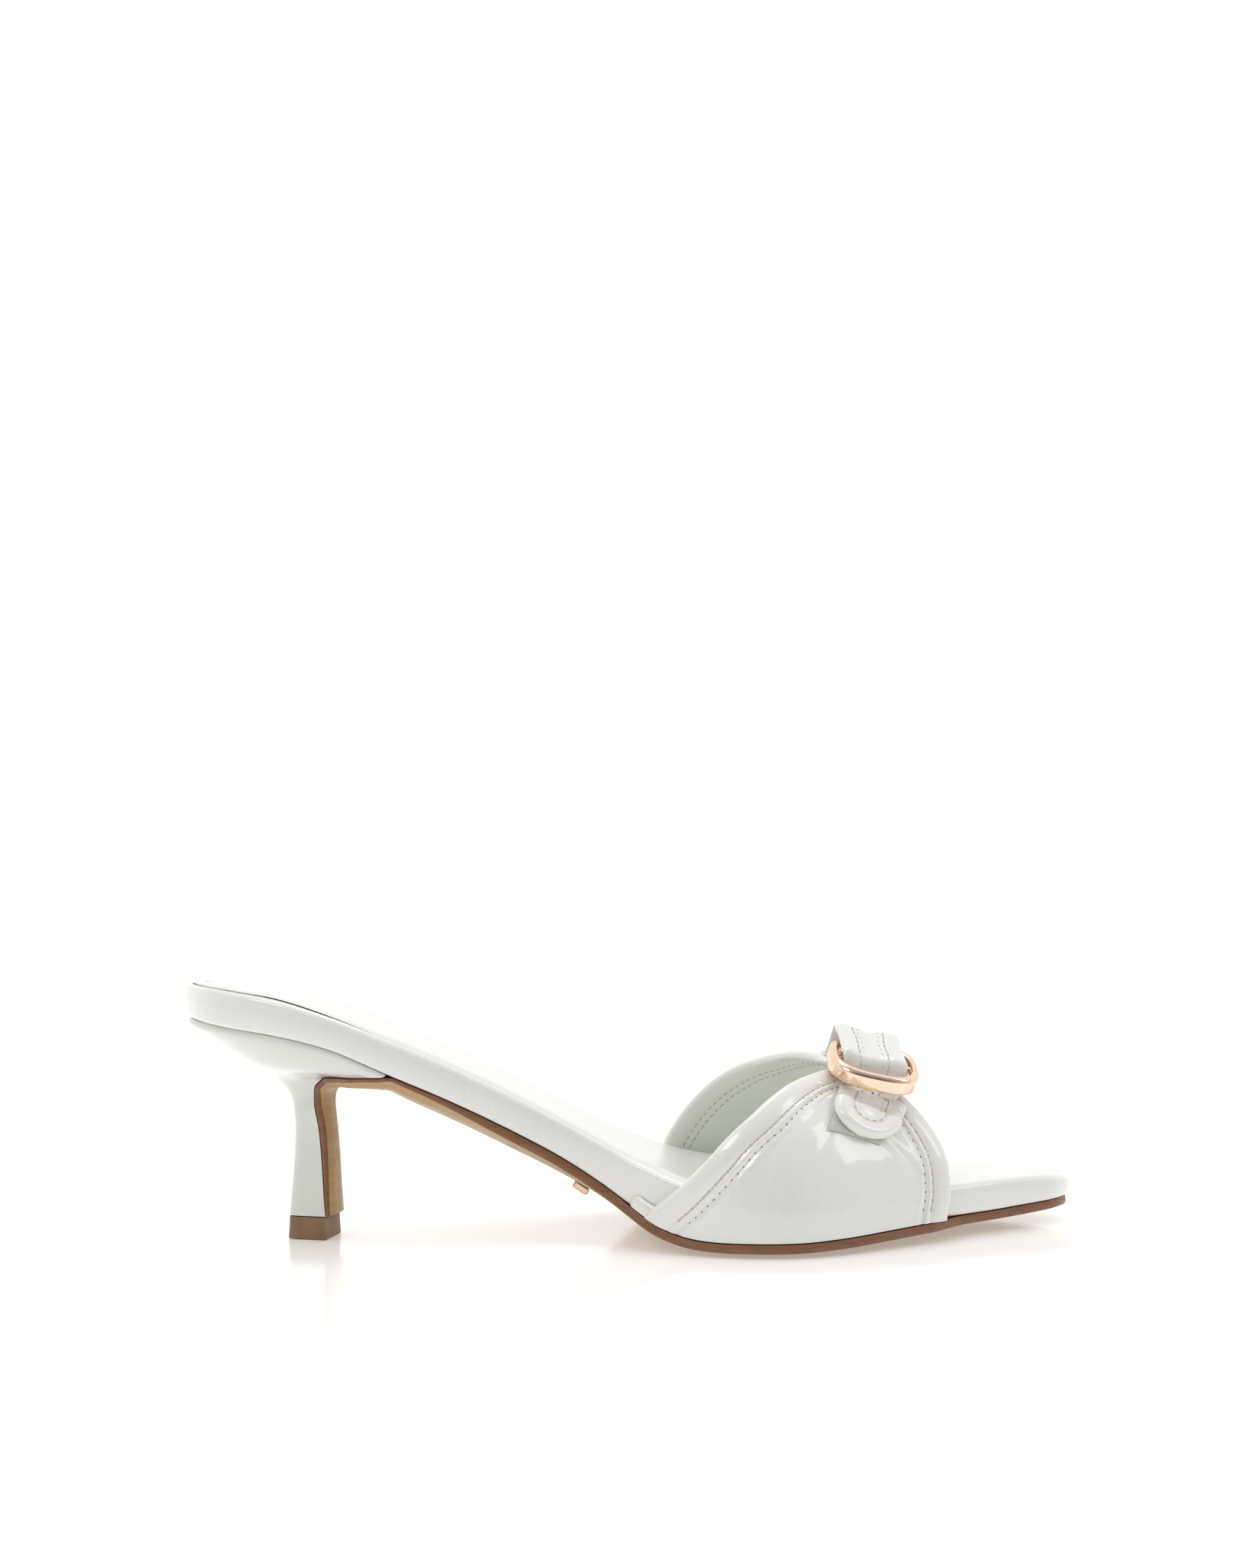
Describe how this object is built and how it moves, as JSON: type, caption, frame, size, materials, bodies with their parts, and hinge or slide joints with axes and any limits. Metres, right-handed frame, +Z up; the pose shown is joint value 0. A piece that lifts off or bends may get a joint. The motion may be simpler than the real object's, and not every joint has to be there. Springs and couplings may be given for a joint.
{
  "type": "high heel shoe",
  "caption": "Open mule for the right foot with a slender heel, a padded footbed and a broad band over the forefoot that carries a buckled strap.",
  "frame": {"origin": "on the floor under the middle of the shoe's outline", "axes": "+X towards the toe, +Y towards the inner side of the foot, +Z up"},
  "size_m": [0.2284, 0.0848, 0.0665],
  "materials": {
    "white_leather": "glossy white",
    "lining": "smooth pale greenish white",
    "sole": "satin tan with a dark brown edge",
    "heel_cover": "glossy white cover",
    "heel_rubber": "brown, matte",
    "patent_leather": "white patent, high gloss",
    "felt": "off-white felt",
    "rose_gold": "polished rose gold plate"
  },
  "bodies": {
    "root": {"footbed": "white_leather", "sock": "lining", "outsole": "sole", "heel": "heel_cover", "heel_tip": "heel_rubber", "upper": "patent_leather", "strap": "patent_leather", "strap_patch": "felt", "buckle": "rose_gold", "sole_plate": "rose_gold"}
  },
  "joints": []
}
